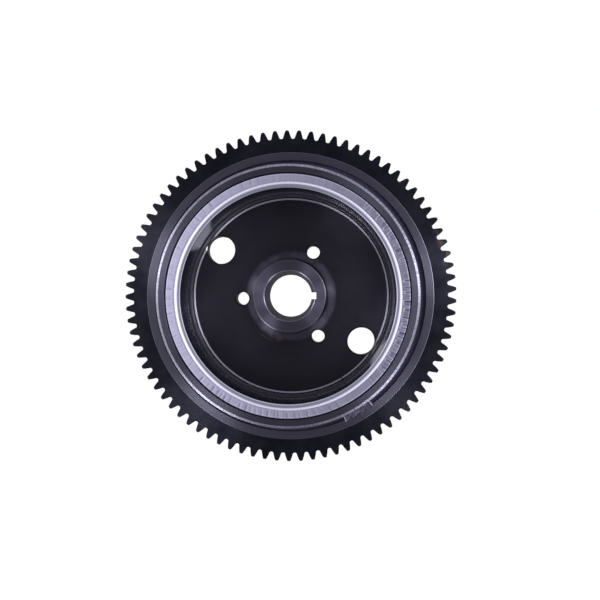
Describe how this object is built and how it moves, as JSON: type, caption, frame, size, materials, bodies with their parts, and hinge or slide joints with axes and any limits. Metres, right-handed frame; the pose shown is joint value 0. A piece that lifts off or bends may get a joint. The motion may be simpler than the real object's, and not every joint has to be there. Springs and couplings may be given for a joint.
{
  "type": "magneto flywheel",
  "caption": "Magneto flywheel with a tapered keyed hub, a cup of arc magnets under a rolled steel cover, an ignition pad and a starter ring gear.",
  "frame": {"origin": "on the crankshaft axis, in the plane of the closed side's outer land, which the flywheel rests on when it lies with the cup open upwards", "axes": "+Z along the crankshaft axis towards the open side of the cup, which faces the engine; +X points from the axis to the middle of the keyway"},
  "size_m": [0.1957, 0.1957, 0.0494],
  "materials": {
    "black_oxide_steel": "black-oxide on turned steel, oiled, satin",
    "gear_steel": "black-oxide on hardened, hobbed steel, satin",
    "black_resin": "moulded black resin, matt",
    "stainless_sheet": "pressed bright stainless sheet",
    "ferrite": "ground grey ferrite"
  },
  "bodies": {
    "root": {"rotor_body": "black_oxide_steel", "ring_gear": "gear_steel", "ignition_pad": "black_oxide_steel", "magnet_cage": "black_resin", "magnet_cover": "stainless_sheet", "magnet_01": "ferrite", "magnet_02": "ferrite", "magnet_03": "ferrite", "magnet_04": "ferrite", "magnet_05": "ferrite", "magnet_06": "ferrite", "magnet_07": "ferrite", "magnet_08": "ferrite", "magnet_09": "ferrite", "magnet_10": "ferrite", "magnet_11": "ferrite", "magnet_12": "ferrite"}
  },
  "joints": []
}
